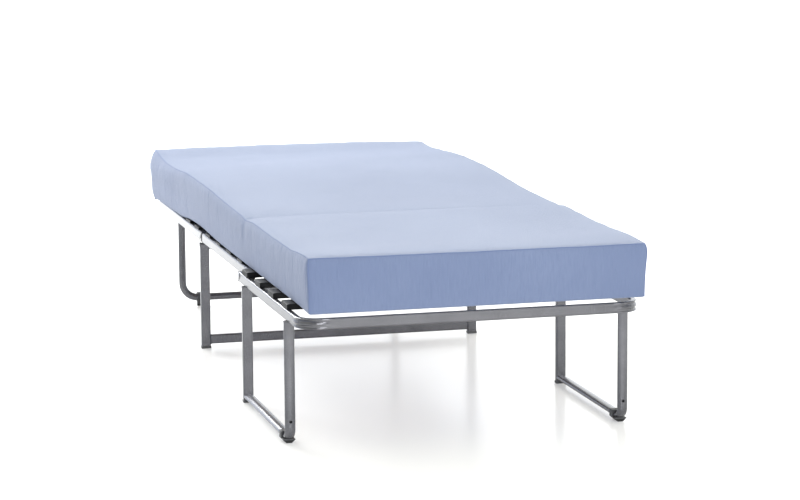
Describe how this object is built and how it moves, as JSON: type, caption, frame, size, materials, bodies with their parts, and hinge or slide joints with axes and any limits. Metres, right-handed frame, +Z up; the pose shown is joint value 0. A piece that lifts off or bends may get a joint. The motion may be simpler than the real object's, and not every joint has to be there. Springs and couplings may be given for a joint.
{
  "type": "folding cot",
  "caption": "Folding bed on a grey tube frame with sprung slats, a seamed blue mattress that folds up at two hinges, rigid side loops and fold-flat legs.",
  "frame": {"origin": "On the floor under the middle of the bed, midway along its length and its width.", "axes": "+X across the bed to its right as seen from the foot end, +Y along it from the foot end to the head end, +Z up."},
  "size_m": [0.837, 2, 0.4503],
  "materials": {
    "painted_steel": "light grey powder coat, half gloss",
    "zinc_steel": "zinc plated",
    "black_plastic": "moulded, matt",
    "grey_plastic": "moulded, matt",
    "foot_rubber": "soft, matt",
    "beech_slat": "lacquered beech veneer",
    "blue_cover": "light blue cotton cover, seamed"
  },
  "bodies": {
    "foot_end": {"near_frame_tube": "painted_steel", "near_cross_tube": "painted_steel", "near_left_rail_plug": "black_plastic", "near_right_rail_plug": "black_plastic", "left_loop_tube": "painted_steel", "right_loop_tube": "painted_steel", "left_loop_foot_clip": "foot_rubber", "right_loop_foot_clip": "foot_rubber", "left_rear_leg": "painted_steel", "right_rear_leg": "painted_steel", "left_rear_leg_cap": "grey_plastic", "right_rear_leg_cap": "grey_plastic", "left_first_hinge_bolt": "zinc_steel", "right_first_hinge_bolt": "zinc_steel", "near_slat_1": "beech_slat", "near_slat_2": "beech_slat", "near_slat_3": "beech_slat", "near_slat_4": "beech_slat", "mattress_near": "blue_cover"},
    "middle_section": {"middle_left_rail": "painted_steel", "middle_right_rail": "painted_steel", "middle_cross_tube_1": "painted_steel", "middle_cross_tube_2": "painted_steel", "left_hinge_plate": "zinc_steel", "right_hinge_plate": "zinc_steel", "left_second_hinge_pin": "zinc_steel", "right_second_hinge_pin": "zinc_steel", "middle_slat_1": "beech_slat", "middle_slat_2": "beech_slat", "middle_slat_3": "beech_slat", "middle_slat_4": "beech_slat", "mattress_first_fold": "blue_cover", "mattress_middle": "blue_cover"},
    "head_end": {"far_frame_tube": "painted_steel", "far_cross_tube": "painted_steel", "far_slat_1": "beech_slat", "far_slat_2": "beech_slat", "far_slat_3": "beech_slat", "far_slat_4": "beech_slat", "far_slat_5": "beech_slat", "middle_leg_left_bracket": "zinc_steel", "middle_leg_right_bracket": "zinc_steel", "middle_leg_left_pin": "zinc_steel", "middle_leg_right_pin": "zinc_steel", "far_leg_left_bracket": "zinc_steel", "far_leg_right_bracket": "zinc_steel", "far_leg_left_pin": "zinc_steel", "far_leg_right_pin": "zinc_steel", "mattress_second_fold": "blue_cover", "mattress_far": "blue_cover"},
    "middle_leg_frame": {"middle_leg_left_upright": "painted_steel", "middle_leg_right_upright": "painted_steel", "middle_leg_left_cap": "grey_plastic", "middle_leg_right_cap": "grey_plastic", "middle_leg_cross_bar": "painted_steel"},
    "far_leg_frame": {"far_leg_tube": "painted_steel", "far_leg_left_foot_clip": "foot_rubber", "far_leg_right_foot_clip": "foot_rubber"}
  },
  "joints": [
    {"name": "middle_fold", "type": "hinge", "parent": "foot_end", "child": "middle_section", "pos_m": [0, -0.32, 0.305], "axis": [1, 0, 0], "range_deg": [0, 90], "deforming": ["mattress_first_fold"]},
    {"name": "far_fold", "type": "hinge", "parent": "middle_section", "child": "head_end", "pos_m": [0, 0.312, 0.3085], "axis": [1, 0, 0], "range_deg": [0, 90], "deforming": ["mattress_second_fold"]},
    {"name": "middle_leg_fold", "type": "hinge", "parent": "head_end", "child": "middle_leg_frame", "pos_m": [0, 0.325, 0.284], "axis": [1, 0, 0], "range_deg": [0, 90]},
    {"name": "far_leg_fold", "type": "hinge", "parent": "head_end", "child": "far_leg_frame", "pos_m": [0, 0.964, 0.3085], "axis": [-1, 0, 0], "range_deg": [0, 90]}
  ]
}
